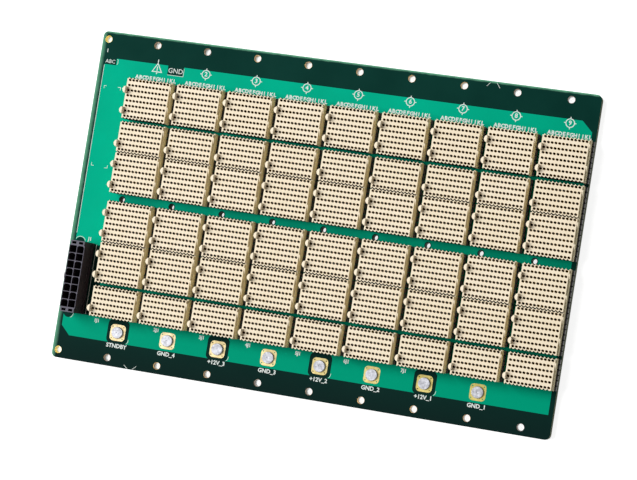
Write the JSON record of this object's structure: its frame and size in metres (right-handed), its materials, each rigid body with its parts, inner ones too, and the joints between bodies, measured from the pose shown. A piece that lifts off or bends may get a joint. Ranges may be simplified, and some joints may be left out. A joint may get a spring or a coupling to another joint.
{
  "type": "drive backplane board",
  "caption": "3U backplane board with a row of slots, each a column of ivory receptacle blocks, a black two-row power header and round power terminals along its foot.",
  "frame": {"origin": "centre of the board's rear face, which is the bottom centre of the part's box", "axes": "+X along the row of slots from slot 1 to slot 9, +Y up the 3U height, +Z out of the connector side"},
  "size_m": [0.1966, 0.1288, 0.0139],
  "materials": {
    "laminate": "green solder mask",
    "ivory_housing": "moulded, matt",
    "black_plastic": "moulded, matt",
    "tinned_brass": "tin plated",
    "nickel_plate": "plated, satin"
  },
  "bodies": {
    "root": {"backplane_board": "laminate", "slot1_receptacle_p1": "ivory_housing", "slot1_receptacle_p2": "ivory_housing", "slot1_receptacle_p3": "ivory_housing", "slot1_receptacle_p4": "ivory_housing", "slot1_receptacle_p5": "ivory_housing", "slot1_receptacle_p6": "ivory_housing", "slot2_receptacle_p1": "ivory_housing", "slot2_receptacle_p2": "ivory_housing", "slot2_receptacle_p3": "ivory_housing", "slot2_receptacle_p4": "ivory_housing", "slot2_receptacle_p5": "ivory_housing", "slot2_receptacle_p6": "ivory_housing", "slot3_receptacle_p1": "ivory_housing", "slot3_receptacle_p2": "ivory_housing", "slot3_receptacle_p3": "ivory_housing", "slot3_receptacle_p4": "ivory_housing", "slot3_receptacle_p5": "ivory_housing", "slot3_receptacle_p6": "ivory_housing", "slot4_receptacle_p1": "ivory_housing", "slot4_receptacle_p2": "ivory_housing", "slot4_receptacle_p3": "ivory_housing", "slot4_receptacle_p4": "ivory_housing", "slot4_receptacle_p5": "ivory_housing", "slot4_receptacle_p6": "ivory_housing", "slot5_receptacle_p1": "ivory_housing", "slot5_receptacle_p2": "ivory_housing", "slot5_receptacle_p3": "ivory_housing", "slot5_receptacle_p4": "ivory_housing", "slot5_receptacle_p5": "ivory_housing", "slot5_receptacle_p6": "ivory_housing", "slot6_receptacle_p1": "ivory_housing", "slot6_receptacle_p2": "ivory_housing", "slot6_receptacle_p3": "ivory_housing", "slot6_receptacle_p4": "ivory_housing", "slot6_receptacle_p5": "ivory_housing", "slot6_receptacle_p6": "ivory_housing", "slot7_receptacle_p1": "ivory_housing", "slot7_receptacle_p2": "ivory_housing", "slot7_receptacle_p3": "ivory_housing", "slot7_receptacle_p4": "ivory_housing", "slot7_receptacle_p5": "ivory_housing", "slot7_receptacle_p6": "ivory_housing", "slot8_receptacle_p1": "ivory_housing", "slot8_receptacle_p2": "ivory_housing", "slot8_receptacle_p3": "ivory_housing", "slot8_receptacle_p4": "ivory_housing", "slot8_receptacle_p5": "ivory_housing", "slot8_receptacle_p6": "ivory_housing", "slot9_receptacle_p1": "ivory_housing", "slot9_receptacle_p2": "ivory_housing", "slot9_receptacle_p3": "ivory_housing", "slot9_receptacle_p4": "ivory_housing", "slot9_receptacle_p5": "ivory_housing", "slot9_receptacle_p6": "ivory_housing", "contact_wafers": "black_plastic", "power_header_housing": "black_plastic", "power_header_pins": "tinned_brass", "power_terminals": "nickel_plate"}
  },
  "joints": []
}
